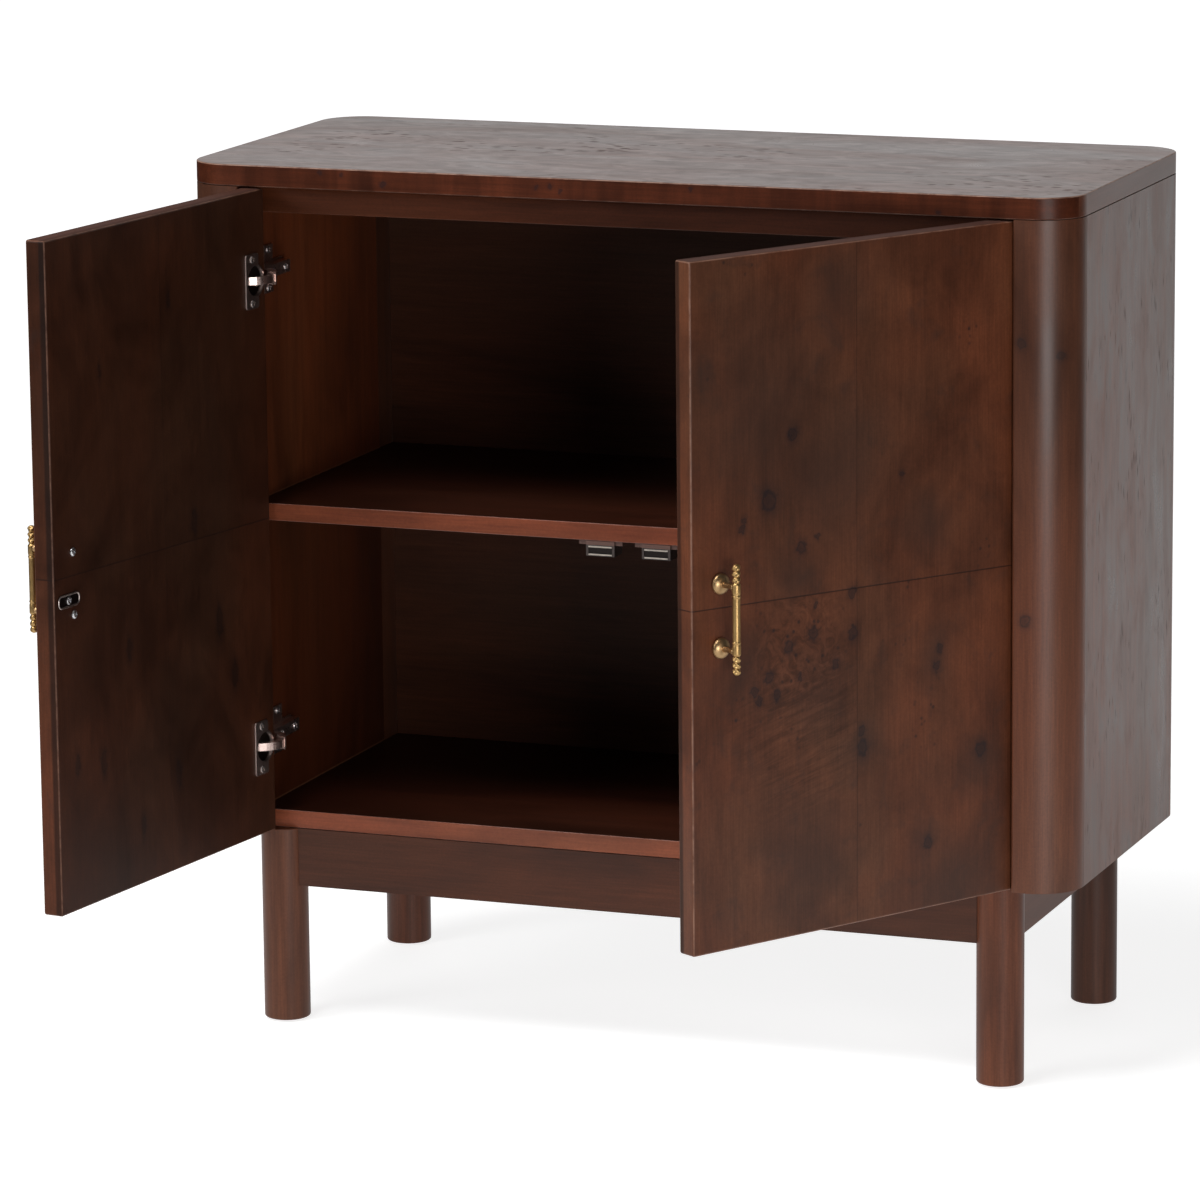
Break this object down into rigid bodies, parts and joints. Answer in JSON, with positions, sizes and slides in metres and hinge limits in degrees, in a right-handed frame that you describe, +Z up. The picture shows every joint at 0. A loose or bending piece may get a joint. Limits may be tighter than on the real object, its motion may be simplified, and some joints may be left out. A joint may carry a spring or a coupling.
{
  "type": "accent cabinet",
  "caption": "Low wooden cabinet with rounded corner posts, hinged front doors over a shelf, bar pulls, magnetic catches and round legs.",
  "frame": {"origin": "on the floor, under the middle of the box that holds the cabinet with its doors open as they rest; the middle of the case itself is at x 0.0058, y 0.1967", "axes": "+Z up, +Y from the door side to the back, +X to the right of someone who faces the doors"},
  "size_m": [0.9546, 0.7964, 0.9],
  "materials": {
    "walnut_veneer": "dark stained veneer under satin lacquer, edges worn a little lighter",
    "burl_veneer": "dark stained veneer with burl knots, four sheets matched at the middle, satin lacquer",
    "leg_wood": "dark stained solid wood, satin lacquer",
    "inner_wood": "stained veneer, thin matt lacquer",
    "antique_brass": "antique brass casting, rubbed bright on its high points",
    "nickel_plate": "stamped steel, nickel plated",
    "zinc_steel": "zinc plated steel",
    "brown_plastic": "moulded brown plastic",
    "glide_rubber": "black moulded glide"
  },
  "bodies": {
    "case": {"top_panel": "walnut_veneer", "front_left_post": "walnut_veneer", "front_right_post": "walnut_veneer", "rear_left_post": "walnut_veneer", "rear_right_post": "walnut_veneer", "left_side_panel": "walnut_veneer", "right_side_panel": "walnut_veneer", "left_inner_wall": "inner_wood", "right_inner_wall": "inner_wood", "left_side_rail": "inner_wood", "right_side_rail": "inner_wood", "back_panel": "inner_wood", "bottom_panel": "walnut_veneer", "top_rail": "walnut_veneer", "shelf": "walnut_veneer", "front_apron": "walnut_veneer", "rear_apron": "walnut_veneer", "left_apron": "walnut_veneer", "right_apron": "walnut_veneer", "front_left_leg": "leg_wood", "front_right_leg": "leg_wood", "rear_left_leg": "leg_wood", "rear_right_leg": "leg_wood", "front_left_glide": "glide_rubber", "front_right_glide": "glide_rubber", "rear_left_glide": "glide_rubber", "rear_right_glide": "glide_rubber", "left_catch": "brown_plastic", "left_catch_magnet": "zinc_steel", "left_hinge_arm_upper": "nickel_plate", "left_hinge_plate_upper": "nickel_plate", "left_hinge_arm_lower": "nickel_plate", "left_hinge_plate_lower": "nickel_plate", "right_catch": "brown_plastic", "right_catch_magnet": "zinc_steel", "right_hinge_arm_upper": "nickel_plate", "right_hinge_plate_upper": "nickel_plate", "right_hinge_arm_lower": "nickel_plate", "right_hinge_plate_lower": "nickel_plate"},
    "left_leaf": {"left_door": "burl_veneer", "left_pull": "antique_brass", "left_pull_screw_upper": "zinc_steel", "left_pull_screw_lower": "zinc_steel", "left_strike_plate": "zinc_steel", "left_strike_screw": "nickel_plate", "left_hinge_cup_upper": "nickel_plate", "left_hinge_cup_lower": "nickel_plate", "left_hinge_link_upper": "nickel_plate", "left_hinge_link_lower": "nickel_plate"},
    "right_leaf": {"right_door": "burl_veneer", "right_pull": "antique_brass", "right_pull_screw_upper": "zinc_steel", "right_pull_screw_lower": "zinc_steel", "right_strike_plate": "zinc_steel", "right_strike_screw": "nickel_plate", "right_hinge_cup_upper": "nickel_plate", "right_hinge_cup_lower": "nickel_plate", "right_hinge_link_upper": "nickel_plate", "right_hinge_link_lower": "nickel_plate"}
  },
  "joints": [
    {"name": "left_door_hinge", "type": "hinge", "parent": "case", "child": "left_leaf", "pos_m": [-0.39621, 0.00123, 0.542], "axis": [0, 0, -1], "range_deg": [-97.3, 7.7]},
    {"name": "right_door_hinge", "type": "hinge", "parent": "case", "child": "right_leaf", "pos_m": [0.40779, 0.00123, 0.542], "axis": [0, 0, 1], "range_deg": [-59.05, 45.95]}
  ]
}
